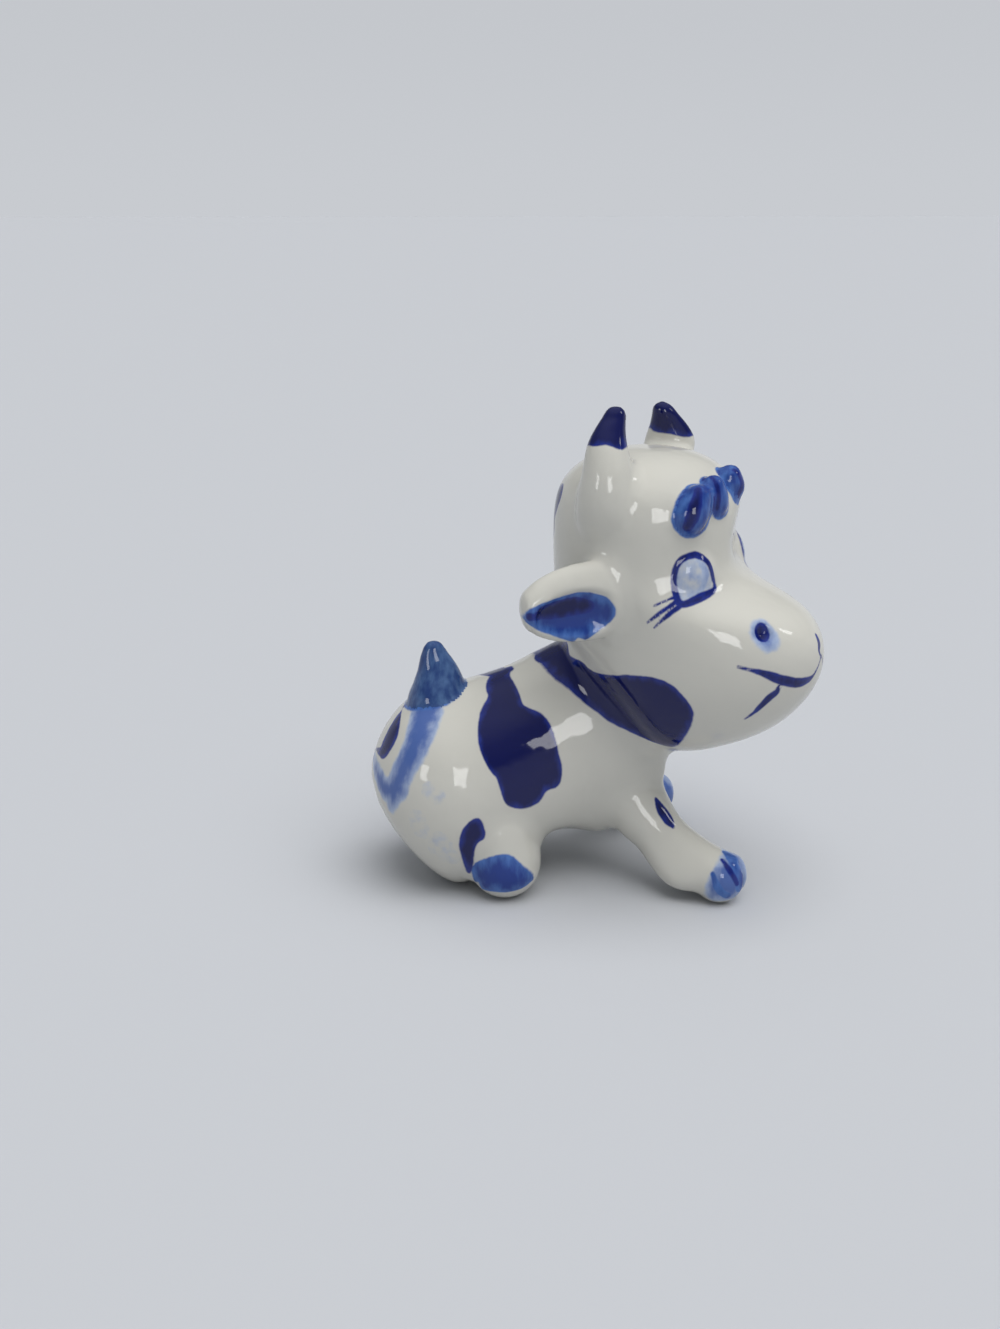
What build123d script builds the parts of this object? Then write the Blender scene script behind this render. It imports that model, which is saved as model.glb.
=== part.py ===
"""Sitting calf figurine in slip-cast porcelain, assembled in the clay from separate pieces.

The body and the head are hollow castings, open to each other through the neck. The horns, ears, forelock
curls, tail and legs are solid and are stuck on with slip, each butted against the casting it grows from.
Millimetres, +X is the way the body faces, +Y its left, +Z up. The origin is on the ground, at the middle
of the flat that the calf sits on. The head is turned to the calf's right.
"""

import os
from math import cos, radians, sin

from build123d import *

# Body casting, its length being that between the fullest section of the rump and the last one of the chest
WALL = 2.6
BODY_LENGTH = 27.9
RUMP_REACH = 12.6
RUMP_WIDTH = 26.4
RUMP_HEIGHT = 30.6
RUMP_FORWARD = 0.9
SEAT_GRIND = 1.1
CHEST_REACH = 2.9
CHEST_SIDE = 3.0
DRAIN_HOLE = 4.0
DRAIN_PLACE_share = 0.394

# Middle of the joint between the body and the head, as shares of the body's length, of the chest's shift to
# the side and of the rump's height, and as shares of the head's length and height. The vent goes through it.
NECK_ON_BODY_shares = (0.857, 1.167, 0.843)
NECK_IN_HEAD_shares = (0.214, 0.104)
VENT_HOLE = 5.0
VENT_LENGTH = 14.0

# Head casting, its eyes and nostrils being placed by shares of its width and height
HEAD_LENGTH = 39.3
HEAD_WIDTH = 26.4
HEAD_HEIGHT = 43.4
EYE_WIDTH = 6.4
EYE_HEIGHT = 7.2
EYE_BULGE = 0.9
EYE_PLACE_shares = (0.333, 0.634)
NOSTRIL_WIDTH = 2.8
NOSTRIL_DEPTH = 1.1
NOSTRIL_PLACE_shares = (0.303, 0.491)

# Horns, placed by shares of the head's length and width, and by how far the right one and the left one
# start below the crown
HORN_LENGTH = 18.2
HORN_ROOT = 9.4
HORN_TIP = 3.0
HORN_ROUND = 1.4
HORN_BOW = 2.5
HORN_PLACE_shares = (0.295, 0.322)
HORN_DROPS = (11.7, 13.0)

# Ears, placed by shares of the head's length, width and height
EAR_LENGTH = 17.6
EAR_WIDTH = 11.2
EAR_THICKNESS = 4.8
EAR_CUP_DEPTH = 1.8
EAR_CUP_DROP = 1.3
EAR_PLACE_shares = (0.422, 0.348, 0.576)

# Forelock curls
CURL_WIDTH = 4.6
CURL_LENGTH = 7.0

# Tail
TAIL_LENGTH = 9.8
TAIL_ROOT = 9.8
TAIL_TIP = 2.6
TAIL_BACK = 2.2

# Front legs: the hoof's way forward from the shoulder, and its way out for the right one and the left one.
# The shoulder is placed by shares of the body's length, the rump's width and the rump's height.
FRONT_LEG_WIDTH = 11.2
FRONT_HOOF_WIDTH = 8.2
FRONT_HOOF_REACH = 11.8
FRONT_HOOF_OUT = (18.0, 13.5)
SHOULDER_PLACE_shares = (0.878, 0.182, 0.572)
CLEFT_WIDTH = 1.0
CLEFT_DEPTH = 0.8

# Hind legs, their hooves being placed by shares of the body's length and the rump's width
HIND_LEG_WIDTH = 10.6
HIND_HOOF_PLACE_shares = (0.229, 0.348)
HIND_LEG_RISE = 10.0
HIND_LEG_IN = 1.0

# How far a hoof is ground flat
HOOF_GRIND = 0.3

# Turn of the head to the right, lean of the neck at the joint, and the ears' backward sweep and droop
HEAD_TURN = 40.0
NECK_LEAN = 47.0
NECK_TURN = 18.0
EAR_SWEEP = 47.0
EAR_DROOP = 5.0

# Angles from the last full section to the flat tip of a rounded end
END_ANGLES = (24.0, 44.0, 60.0, 73.0, 83.0)

# Sections worked out between two given ones, and the points that each section's curve goes through
STEPS = 3
SECTION_POINTS = 12

# Body sections from rump to chest: shares of the length and of the shift sideways, levels of the belly and
# of the back as shares of the rump's height, and a share of the rump's width
BODY_shares = (
    (0.000, 0.00, 0.000, 1.000, 1.000),
    (0.194, 0.00, 0.049, 1.036, 0.962),
    (0.344, 0.07, 0.108, 1.082, 0.917),
    (0.487, 0.20, 0.163, 1.150, 0.879),
    (0.631, 0.45, 0.203, 1.220, 0.833),
    (0.774, 0.75, 0.229, 1.245, 0.803),
    (0.900, 0.95, 0.281, 1.175, 0.742),
    (1.000, 1.00, 0.346, 1.050, 0.644),
)

# Head levels from the chin up to the crown's edge: height share, then rear, middle and front shares of the
# length from the back of the head, and a share of the width
HEAD_shares = (
    (0.000, 0.440, 0.504, 0.570, 0.14),
    (0.014, 0.415, 0.507, 0.605, 0.28),
    (0.040, 0.390, 0.512, 0.665, 0.46),
    (0.085, 0.350, 0.522, 0.772, 0.65),
    (0.145, 0.295, 0.530, 0.870, 0.815),
    (0.215, 0.218, 0.532, 0.940, 0.925),
    (0.290, 0.130, 0.532, 0.985, 0.985),
    (0.365, 0.055, 0.530, 1.000, 1.00),
    (0.435, 0.012, 0.520, 0.985, 1.00),
    (0.500, 0.000, 0.490, 0.930, 1.00),
    (0.545, 0.000, 0.440, 0.835, 1.00),
    (0.585, 0.000, 0.388, 0.742, 1.00),
    (0.635, 0.000, 0.352, 0.696, 1.00),
    (0.700, 0.000, 0.338, 0.682, 1.00),
    (0.800, 0.003, 0.336, 0.678, 0.99),
)
CROWN_FULLNESS_share = 0.85
CROWN_TOP_share = 0.995
HOLLOW_LEVEL_shares = (0.0, 0.06, 0.15, 0.3, 0.45, 0.6, 0.75, 0.88, 0.95, 1.0)

# Horn sections: shares of the length, of the bow outwards, and of the change in width from root to tip
HORN_shares = (
    (0.00, 0.00, 0.00),
    (0.25, 0.70, 0.06),
    (0.50, 1.00, 0.32),
    (0.72, 0.80, 0.60),
    (0.88, 0.42, 0.84),
    (1.00, 0.00, 1.00),
)

# Ear sections and the sections of its cup: shares of the length and of the ear's width
EAR_shares = ((0.00, 0.62), (0.20, 0.88), (0.42, 1.00), (0.66, 0.93), (0.84, 0.74), (0.94, 0.52))
EAR_CUP_shares = ((0.36, 0.50), (0.52, 0.67), (0.70, 0.61), (0.85, 0.42))
EAR_END_share = 0.06

# Tail sections: shares of the length and of the change in width from root to tip
TAIL_shares = ((0.0, 0.0), (0.25, 0.16), (0.45, 0.42), (0.65, 0.70), (0.84, 0.88), (1.0, 1.0))

# Front leg sections: shares of the way forward, out and down, and of the width at the shoulder
FRONT_LEG_shares = (
    (0.00, 0.00, 0.00, 1.00),
    (0.17, 0.28, 0.37, 0.88),
    (0.41, 0.55, 0.67, 0.69),
    (0.70, 0.79, 0.91, 0.75),
)

# Curls: place across the head as a share of its width, level share, width and length shares, and slant
CURL_shares = (
    ("right", -0.315, 0.855, 1.00, 1.00, -24.0),
    ("middle", -0.185, 0.885, 0.85, 0.84, 8.0),
    ("left", 0.010, 0.905, 0.90, 0.84, 10.0),
)
CURL_TIP_share = 0.8


def egg(frame, half_width, ahead, behind):
    """A flat section bounded by one closed curve, which reaches further to one side of its widest line."""
    points = []
    for number in range(SECTION_POINTS):
        angle = radians(360 * number / SECTION_POINTS)
        reach = ahead if sin(angle) > 0 else behind
        points.append(Vector(half_width * cos(angle), reach * sin(angle)))
    even_steps = [number / SECTION_POINTS for number in range(SECTION_POINTS + 1)]
    return frame * make_face(Edge.make_spline(points, periodic=True, parameters=even_steps))


def on_curve(a, b, c, d, t):
    """The value at a share of the way from b to c on a smooth curve through four values."""
    bend = 2 * a - 5 * b + 4 * c - d
    twist = 3 * b - a - 3 * c + d
    return b + (t * (c - a) + t ** 2 * bend + t ** 3 * twist) / 2


def smoothed(rows):
    """The rows with more between them, on a smooth curve through them."""
    full = []
    for number in range(len(rows) - 1):
        before, low = rows[max(number - 1, 0)], rows[number]
        high, after = rows[number + 1], rows[min(number + 2, len(rows) - 1)]
        for step in range(STEPS):
            full.append([on_curve(*four, step / STEPS) for four in zip(before, low, high, after)])
    return full + [list(rows[-1])]


def tapered(places, half_widths, half_depths, end=0, start=0, level=(0, 0, 1)):
    """A solid through parallel egg-shaped sections, with a round end of a given length at the last one, and
    at the first one. The level direction is square to the sections' width."""
    way = (places[-1] - places[0]).normalized()
    return lofted_along(way, places, half_widths, half_depths, end, start, level)


def lofted_along(way, places, half_widths, half_depths, end, start, level=(0, 0, 1)):
    """The same with a given way that all sections face."""
    side = way.cross(Vector(*level))

    def section(row, ahead, size):
        frame = Plane(origin=Vector(*row[:3]) + way * ahead, x_dir=side, z_dir=way)
        return egg(frame, row[3] * size, row[4] * size, row[4] * size)

    rows = smoothed([(*place, width, depth) for place, width, depth in zip(places, half_widths, half_depths)])
    turns = [(sin(radians(angle)), cos(radians(angle))) for angle in END_ANGLES]
    sections = [section(row, 0, 1) for row in rows]
    if start:
        sections = [section(rows[0], -start * rise, size) for rise, size in reversed(turns)] + sections
    if end:
        sections += [section(rows[-1], end * rise, size) for rise, size in turns]
    return loft(sections)


def between(low, high, share):
    return low + (high - low) * share


def of_side(values, side):
    """The value for the right side, -1, or the left side, 1."""
    return values[(side + 1) // 2]


# The head's own directions, and where its back edge meets its chin level
head_ahead = Vector(cos(radians(HEAD_TURN)), -sin(radians(HEAD_TURN)), 0)
head_left = Vector(sin(radians(HEAD_TURN)), cos(radians(HEAD_TURN)), 0)
up = Vector(0, 0, 1)
rump = Vector(RUMP_FORWARD, 0, RUMP_HEIGHT / 2 - SEAT_GRIND)

def scaled(shares, *sizes):
    return [share * size for share, size in zip(shares, sizes)]


neck_forward, neck_side, neck_rise = scaled(NECK_ON_BODY_shares, BODY_LENGTH, CHEST_SIDE, RUMP_HEIGHT)
neck_ahead, neck_height = scaled(NECK_IN_HEAD_shares, HEAD_LENGTH, HEAD_HEIGHT)
neck = Vector(neck_forward, -neck_side, neck_rise)
head_origin = neck - head_ahead * neck_ahead - up * neck_height


def head_place(forward, left, height):
    return head_origin + head_ahead * forward + head_left * left + up * height


def head_outline(height_share):
    """Rear, middle and front shares and the width share at a level."""
    edge, rear, middle, front, width = HEAD_shares[-1]
    if height_share > edge:
        rise = min((height_share - edge) / (1 - edge), CROWN_TOP_share)
        shrink = (1 - rise ** 2) ** (CROWN_FULLNESS_share / 2)
        return [between(middle, rear, shrink), middle, between(middle, front, shrink), width * shrink]
    for low, high in zip(HEAD_shares, HEAD_shares[1:]):
        if height_share <= high[0]:
            part = (max(height_share, 0) - low[0]) / (high[0] - low[0])
            return [between(a, b, part) for a, b in zip(low[1:], high[1:])]


def head_section(height, rear, middle, front, half_width):
    frame = Plane(origin=head_place(middle, 0, height), x_dir=head_left * -1, z_dir=(0, 0, 1))
    return egg(frame, half_width, front - middle, middle - rear)


def head_form():
    levels = [row[0] for row in HEAD_shares]
    levels += [between(levels[-1], 1, sin(radians(angle))) for angle in END_ANGLES]
    sections = []
    for level in levels:
        rear, middle, front, width = head_outline(level)
        lengths = [share * HEAD_LENGTH for share in (rear, middle, front)]
        sections.append(head_section(level * HEAD_HEIGHT, *lengths, width * HEAD_WIDTH / 2))
    return loft(sections)


def head_hollow():
    """The casting's inside: at each level it stays a wall away from the narrowest level near it."""
    sections = []
    wall_share = WALL / HEAD_HEIGHT
    for level in HOLLOW_LEVEL_shares:
        centre = between(wall_share, 1 - wall_share, level)
        near = [head_outline(centre + shift * wall_share) for shift in (-1, 0, 1)]
        rear = max(near[0][0], near[1][0] + WALL / HEAD_LENGTH, near[2][0]) * HEAD_LENGTH
        front = min(near[0][2], near[1][2] - WALL / HEAD_LENGTH, near[2][2]) * HEAD_LENGTH
        half = min(near[0][3], near[1][3] - 2 * WALL / HEAD_WIDTH, near[2][3]) * HEAD_WIDTH / 2
        sections.append(head_section(centre * HEAD_HEIGHT, rear, (rear + front) / 2, front, half))
    return loft(sections)


def head_skin(left, height):
    """The point of the head's front at a place across it and a level, and the way it faces."""
    rear, middle, front, width = head_outline(height / HEAD_HEIGHT)
    half = width * HEAD_WIDTH / 2
    reach = (front - middle) * HEAD_LENGTH
    ahead = reach * (1 - (left / half) ** 2) ** 0.5
    way = head_ahead * (ahead / reach ** 2) + head_left * (left / half ** 2)
    return head_place(middle * HEAD_LENGTH + ahead, left, height), way.normalized()


def torso_form(inset=0.0):
    """The body's form, or the inside of its casting at an inset."""
    places = []
    half_widths = []
    half_heights = []
    for forward, side, belly, back, width in BODY_shares:
        reach = RUMP_FORWARD + (BODY_LENGTH - inset) * forward
        level = RUMP_HEIGHT * (belly + back) / 2 - SEAT_GRIND
        places.append(Vector(reach, -CHEST_SIDE * side, level))
        half_widths.append(RUMP_WIDTH / 2 * width - inset)
        half_heights.append(RUMP_HEIGHT / 2 * (back - belly) - inset)
    return lofted_along(Vector(1, 0, 0), places, half_widths, half_heights, CHEST_REACH, RUMP_REACH - inset)


# What the pieces are cut by: the two castings' forms, and everything below the ground
torso = torso_form()
skull = head_form()
ground = Pos(0, 0, -HEAD_HEIGHT / 2) * Box(4 * HEAD_HEIGHT, 4 * HEAD_HEIGHT, HEAD_HEIGHT)


def body():
    drain = Pos(DRAIN_PLACE_share * BODY_LENGTH, 0, RUMP_HEIGHT / 4) * Cylinder(DRAIN_HOLE / 2, RUMP_HEIGHT / 2)
    return torso - skull - torso_form(WALL) - ground - drain


def head():
    solid = skull
    eye_out, eye_level = scaled(EYE_PLACE_shares, HEAD_WIDTH, HEAD_HEIGHT)
    nostril_out, nostril_level = scaled(NOSTRIL_PLACE_shares, HEAD_WIDTH, HEAD_HEIGHT)
    for side in (-1, 1):
        seat, way = head_skin(side * eye_out, eye_level)
        sizes = [EYE_WIDTH / 2] * 2, [EYE_HEIGHT / 2] * 2
        solid = solid + tapered([seat - way * WALL, seat - way * EYE_BULGE], *sizes, end=2 * EYE_BULGE)
        seat, way = head_skin(side * nostril_out, nostril_level)
        centre = seat + way * (NOSTRIL_WIDTH / 2 - NOSTRIL_DEPTH)
        solid = solid - Pos(*centre) * Sphere(NOSTRIL_WIDTH / 2)
    lean, turn = radians(NECK_LEAN), radians(NECK_TURN)
    way = (cos(lean) * cos(turn), -cos(lean) * sin(turn), sin(lean))
    vent = Plane(origin=neck, z_dir=way) * Pos(0, 0, VENT_LENGTH / 2) * Cylinder(VENT_HOLE / 2, VENT_LENGTH)
    return solid - head_hollow() - vent


def horn(side):
    ahead, out = scaled(HORN_PLACE_shares, HEAD_LENGTH, HEAD_WIDTH)
    root = head_place(ahead, side * out, HEAD_HEIGHT - of_side(HORN_DROPS, side))
    rise = HORN_LENGTH - HORN_ROUND
    bow = head_left * (side * HORN_BOW)
    places = [root + up * (rise * share) + bow * out for share, out, _ in HORN_shares]
    halves = [between(HORN_ROOT, HORN_TIP, change) / 2 for _, _, change in HORN_shares]
    return tapered(places, halves, halves, end=HORN_ROUND, level=(1, 0, 0)) - skull


def ear(side):
    sweep, droop = radians(EAR_SWEEP), radians(EAR_DROOP)
    outward = head_left * side
    way = (outward * cos(sweep) - head_ahead * sin(sweep)) * cos(droop) - up * sin(droop)
    face = head_ahead * cos(sweep) + outward * sin(sweep)
    ahead, out, level = scaled(EAR_PLACE_shares, HEAD_LENGTH, HEAD_WIDTH, HEAD_HEIGHT)
    root = head_place(ahead, side * out, level)
    end = EAR_LENGTH * EAR_END_share
    places = [root + way * (EAR_LENGTH * share) for share, _ in EAR_shares]
    heights = [EAR_WIDTH / 2 * share for _, share in EAR_shares]
    leaf = tapered(places, [EAR_THICKNESS / 2] * len(places), heights, end=end)
    mouth = root + face * (EAR_THICKNESS / 2) - up * EAR_CUP_DROP
    places = [mouth + way * (EAR_LENGTH * share) for share, _ in EAR_CUP_shares]
    heights = [EAR_WIDTH / 2 * share for _, share in EAR_CUP_shares]
    cup = tapered(places, [EAR_CUP_DEPTH] * len(places), heights, end=end, start=end)
    return leaf - cup - skull


def curl(across_share, level_share, width_share, length_share, slant):
    seat, way = head_skin(across_share * HEAD_WIDTH, level_share * HEAD_HEIGHT)
    across = way.cross(up).normalized()
    along = up * cos(radians(slant)) + across * sin(radians(slant))
    half = CURL_WIDTH / 2 * width_share
    tip = half * CURL_TIP_share
    reach = (CURL_LENGTH * length_share - half - tip) / 2
    places = [seat - along * reach, seat, seat + along * reach]
    halves = [half, half, tip]
    return tapered(places, halves, halves, end=tip, start=half, level=tuple(way)) - skull


def tail():
    root = rump + Vector(-TAIL_BACK, 0, RUMP_HEIGHT / 2 - WALL)
    rise = TAIL_LENGTH - TAIL_TIP / 2
    places = [root + up * (rise * share) for share, _ in TAIL_shares]
    halves = [between(TAIL_ROOT, TAIL_TIP, change) / 2 for _, change in TAIL_shares]
    return tapered(places, halves, halves, end=TAIL_TIP / 2, level=(1, 0, 0)) - torso


def front_leg(side):
    hoof = FRONT_HOOF_WIDTH / 2
    ahead, out, rise = scaled(SHOULDER_PLACE_shares, BODY_LENGTH, RUMP_WIDTH, RUMP_HEIGHT)
    shoulder = Vector(ahead, side * out, rise)
    foot = Vector(ahead + FRONT_HOOF_REACH, side * of_side(FRONT_HOOF_OUT, side), hoof - HOOF_GRIND)
    way = foot - shoulder
    places = [
        shoulder + Vector(way.X * forward, way.Y * out, way.Z * down)
        for forward, out, down, _ in FRONT_LEG_shares
    ]
    halves = [FRONT_LEG_WIDTH / 2 * share for *_, share in FRONT_LEG_shares]
    leg = tapered(places + [foot], halves + [hoof], halves + [hoof], end=hoof)
    toe = (foot - places[-1]).normalized()
    slot = Plane(origin=foot + toe * hoof, x_dir=up.cross(toe), z_dir=toe) * Box(CLEFT_WIDTH, 2 * hoof, hoof)
    cleft = slot - Pos(*foot) * Sphere(hoof - CLEFT_DEPTH)
    return leg - cleft - torso - skull - ground


def hind_leg(side):
    half = HIND_LEG_WIDTH / 2
    ahead, out = scaled(HIND_HOOF_PLACE_shares, BODY_LENGTH, RUMP_WIDTH)
    foot = Vector(ahead, side * out, half - HOOF_GRIND)
    knee = Vector(foot.X - HIND_LEG_IN, foot.Y - side * HIND_LEG_IN, HIND_LEG_RISE)
    leg = tapered([knee, foot], [half, half], [half, half], end=half, start=half)
    return leg - torso - ground


pieces = {"body": body(), "head": head(), "tail": tail()}
for name, side in (("right", -1), ("left", 1)):
    pieces["horn_" + name] = horn(side)
    pieces["ear_" + name] = ear(side)
    pieces["front_leg_" + name] = front_leg(side)
    pieces["hind_leg_" + name] = hind_leg(side)
neighbour = None
for name, *shares in CURL_shares:
    lock = curl(*shares)
    pieces["forelock_" + name] = lock - neighbour if neighbour else lock
    neighbour = lock

os.makedirs("parts", exist_ok=True)
for name, piece in pieces.items():
    print(name, len(piece.solids()), round(piece.volume))
    export_step(piece, "parts/" + name + ".step")
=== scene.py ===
# %% [markdown]
# # A calf in blue and white porcelain
# The figurine is about 71 mm high. It was slip-cast, put together in the wet clay from a body, a head and
# small solid parts, painted by hand with cobalt, covered with clear glaze and fired. This lesson loads the
# clay pieces as they were built, lets the glaze fill their joints, paints them and photographs them.

# %% Load the pieces
import math
import bmesh
import bpy
import numpy
from mathutils import Matrix, Vector
from mathutils.bvhtree import BVHTree


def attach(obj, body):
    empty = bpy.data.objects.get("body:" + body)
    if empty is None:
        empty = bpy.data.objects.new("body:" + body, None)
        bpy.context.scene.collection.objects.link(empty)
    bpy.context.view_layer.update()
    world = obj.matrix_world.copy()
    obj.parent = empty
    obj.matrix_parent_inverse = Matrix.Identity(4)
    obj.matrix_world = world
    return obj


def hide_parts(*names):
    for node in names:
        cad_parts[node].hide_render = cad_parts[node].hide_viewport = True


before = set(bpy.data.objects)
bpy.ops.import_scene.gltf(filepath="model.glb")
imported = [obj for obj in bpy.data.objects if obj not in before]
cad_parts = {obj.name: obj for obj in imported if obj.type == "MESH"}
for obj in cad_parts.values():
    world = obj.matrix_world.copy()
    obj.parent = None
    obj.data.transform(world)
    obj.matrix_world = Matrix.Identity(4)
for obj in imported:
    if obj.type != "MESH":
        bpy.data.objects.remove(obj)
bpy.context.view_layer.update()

MM = 0.001
clay = dict(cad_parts)

# %% [markdown]
# The camera stands where the photographer stood. The paint is later given in the photograph's own pixels, so
# the camera comes first: it is worked out from the distance, the two angles, and the pixel at which the
# middle of the seat shows.

# %% Camera
PHOTO_WIDTH, PHOTO_HEIGHT = 1000, 1329
FOCAL_PIXELS = 1444
SENSOR = 36
CAMERA_DISTANCE = 220 * MM
CAMERA_TURN = math.radians(-13.0)
CAMERA_RISE = math.radians(17.5)
SEAT_PIXEL = (450, 870)

backward = Vector((
    math.sin(CAMERA_TURN) * math.cos(CAMERA_RISE),
    -math.cos(CAMERA_TURN) * math.cos(CAMERA_RISE),
    math.sin(CAMERA_RISE),
))
rightward = Vector((math.cos(CAMERA_TURN), math.sin(CAMERA_TURN), 0))
upward = backward.cross(rightward)


def pixel_ray(x, y):
    """The way from the camera through a pixel, one unit deep."""
    across = (x - PHOTO_WIDTH / 2) / FOCAL_PIXELS
    rise = (PHOTO_HEIGHT / 2 - y) / FOCAL_PIXELS
    return rightward * across + upward * rise - backward


camera_place = pixel_ray(*SEAT_PIXEL) * -CAMERA_DISTANCE
camera = bpy.data.objects.new("camera", bpy.data.cameras.new("camera"))
camera.data.sensor_width = SENSOR  # it spans the picture's longer side, its height
camera.data.lens = FOCAL_PIXELS / PHOTO_HEIGHT * SENSOR
camera.data.clip_start = 10 * MM
camera.matrix_world = Matrix((
    (rightward.x, upward.x, backward.x, camera_place.x),
    (rightward.y, upward.y, backward.y, camera_place.y),
    (rightward.z, upward.z, backward.z, camera_place.z),
    (0, 0, 0, 1),
))
bpy.context.scene.collection.objects.link(camera)
bpy.context.scene.camera = camera
print("camera at", [round(value / MM, 1) for value in camera_place], "mm")

# %% [markdown]
# Wet slip and glaze round off every joint, so the pieces can't just be shown as they were cut. They could be
# bevelled one by one, but a joint between two free forms has no clean edge to bevel. A voxel remesh melts
# copies of all the pieces into one skin, which can then be smoothed where two pieces meet. A ball closes the
# vent in the neck first, because the head's inside never shows.

# %% Melt the pieces into one skin
VOXEL = 0.36 * MM
MERGE_GAP = 0.001 * MM
PLUG_WIDTH = 9.0 * MM
PLUG_PLACE = Vector((25.6, -4.2, 28.0)) * MM
PLUG_FINENESS = 4


def new_piece(name, bm):
    """A new object at the origin with the mesh that was built."""
    mesh = bpy.data.meshes.new(name)
    bm.to_mesh(mesh)
    bm.free()
    piece = bpy.data.objects.new(name, mesh)
    bpy.context.scene.collection.objects.link(piece)
    return piece


together = bmesh.new()
trees = {}
for name, node in clay.items():
    single = bmesh.new()
    single.from_mesh(node.data)
    bmesh.ops.remove_doubles(single, verts=single.verts, dist=MERGE_GAP)
    trees[name] = BVHTree.FromBMesh(single)
    single.free()
    together.from_mesh(node.data)
bmesh.ops.create_icosphere(
    together, subdivisions=PLUG_FINENESS, radius=PLUG_WIDTH / 2, matrix=Matrix.Translation(PLUG_PLACE),
)
bmesh.ops.remove_doubles(together, verts=together.verts, dist=MERGE_GAP)
melted = new_piece("melted", together)
remesh = melted.modifiers.new("melt", "REMESH")
remesh.mode = "VOXEL"
remesh.voxel_size = VOXEL
skin = bmesh.new()
skin.from_object(melted, bpy.context.evaluated_depsgraph_get())
bpy.data.objects.remove(melted)
print("the skin has", len(skin.verts), "points and", len(skin.faces), "faces")

# %% [markdown]
# Each point of the skin belongs to the clay piece that it is nearest to. Its distance from the second nearest
# piece tells how near a joint it is. A few rounds of smoothing over everything take out the steps of the
# voxels, as the glaze does, and many more near the joints give them the soft fillets that slip leaves. Slip
# fills a corner but doesn't wear a ridge away, so what sinks in those rounds is lifted back.

# %% Find the joints
REACH = 7.0 * MM
JOINT_WIDTHS = {
    "horn": 6.0, "ear": 3.6, "front_leg": 5.0, "hind_leg": 3.6, "tail": 2.4, "forelock": 0.6, "head": 6.8,
}
NO_JOINT = 9.0
order = list(trees)


def joint_width(name):
    """How far from a joint its fillet reaches, in millimetres."""
    kind = name.removesuffix("_right").removesuffix("_left").removesuffix("_middle")
    return JOINT_WIDTHS.get(kind, REACH / MM)


def nearest_pieces(place):
    """The nearest clay piece, how far off the joint is as a share of its width, and that width."""
    found = []
    for number, name in enumerate(order):
        distance = trees[name].find_nearest(place, REACH)[3]
        if distance is not None:
            found.append((distance, number))
    found.sort()
    if len(found) < 2:
        return (found[0][1] if found else 0), NO_JOINT, 0.0
    width = min(joint_width(order[number]) for _, number in found[:2])
    return found[0][1], found[1][0] / MM / width, width


skin.verts.ensure_lookup_table()
owners = []
joints = []
for vert in skin.verts:
    owner, share, width = nearest_pieces(vert.co)
    owners.append(owner)
    if share < 1:
        joints.append((vert, share, width))
print("points near a joint:", len(joints), "of", len(skin.verts))

# %% Smooth the skin
ALL_OVER_ROUNDS = 4
JOINT_ROUNDS = 140
NECK_ROUNDS = 360
BLEND_ROUNDS = 60
JOINT_FACTOR = 0.5
NECK_FACTOR = 0.8


def smooth(verts, rounds, factor=JOINT_FACTOR):
    """Draws points towards their neighbours, again and again."""
    for number in range(rounds):
        bmesh.ops.smooth_vert(
            skin, verts=verts, factor=factor, use_axis_x=True, use_axis_y=True, use_axis_z=True,
        )


smooth(skin.verts, ALL_OVER_ROUNDS)
skin.normal_update()
before = [(vert.co.copy(), vert.normal.copy()) for vert in skin.verts]
necks = [(vert, share) for vert, share, width in joints if width == JOINT_WIDTHS["head"]]
others = [(vert, share) for vert, share, width in joints if width != JOINT_WIDTHS["head"]]
for soft, rounds, factor in ((necks, NECK_ROUNDS, NECK_FACTOR), (others, JOINT_ROUNDS, JOINT_FACTOR)):
    for number in range(rounds):
        smooth([vert for vert, share in soft if share < 1 - number / rounds], 1, factor)
for vert, (place, outward) in zip(skin.verts, before):
    sunk = min((vert.co - place).dot(outward), 0)
    vert.co -= outward * sunk
smooth([vert for vert, share in necks], BLEND_ROUNDS)
smooth(skin.verts, ALL_OVER_ROUNDS)
print("softened", len(necks), "points round the neck and", len(others), "round the other joints")

# %% [markdown]
# The pieces were pressed by hand, and thumbs leave their marks: the horns lean and swell, the tail is fuller
# on one side, the belly is arched, and the rump is flattened where it sits back. Each mark is a gentle push
# of the skin round the point that shows at a pixel.

# %% Push the skin as thumbs did
# A pixel, the way across and up in the picture, the width that moves, and how far behind the skin the push
# has its middle, in millimetres.
PUSHES = (
    # the horns
    ((600, 438), -0.8, 0.0, 6.0, 0.0),
    ((676, 436), 2.2, -0.5, 6.0, 0.0),
    ((656, 440), -0.9, 0.0, 5.0, 0.0),
    # the tail
    ((433, 657), -1.3, 0.0, 6.0, 1.0),
    ((443, 666), 1.2, 0.0, 5.0, 1.0),
    # the rump, then the far brow
    ((404, 848), 2.8, 1.3, 14.0, 9.0),
    ((738, 537), -1.6, 0.0, 8.0, 4.0),
    # the left curl of the forelock
    ((738, 497), 0.0, 0.6, 2.5, 0.0),
    ((729, 467), 0.0, -0.5, 2.5, 0.0),
    # the arch of the belly, then the right front leg
    ((548, 841), 0.4, 2.0, 9.0, 4.0),
    ((664, 862), -0.4, -1.0, 6.0, 0.0),
    ((680, 876), 0.0, -1.0, 5.0, 0.0),
)

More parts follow.
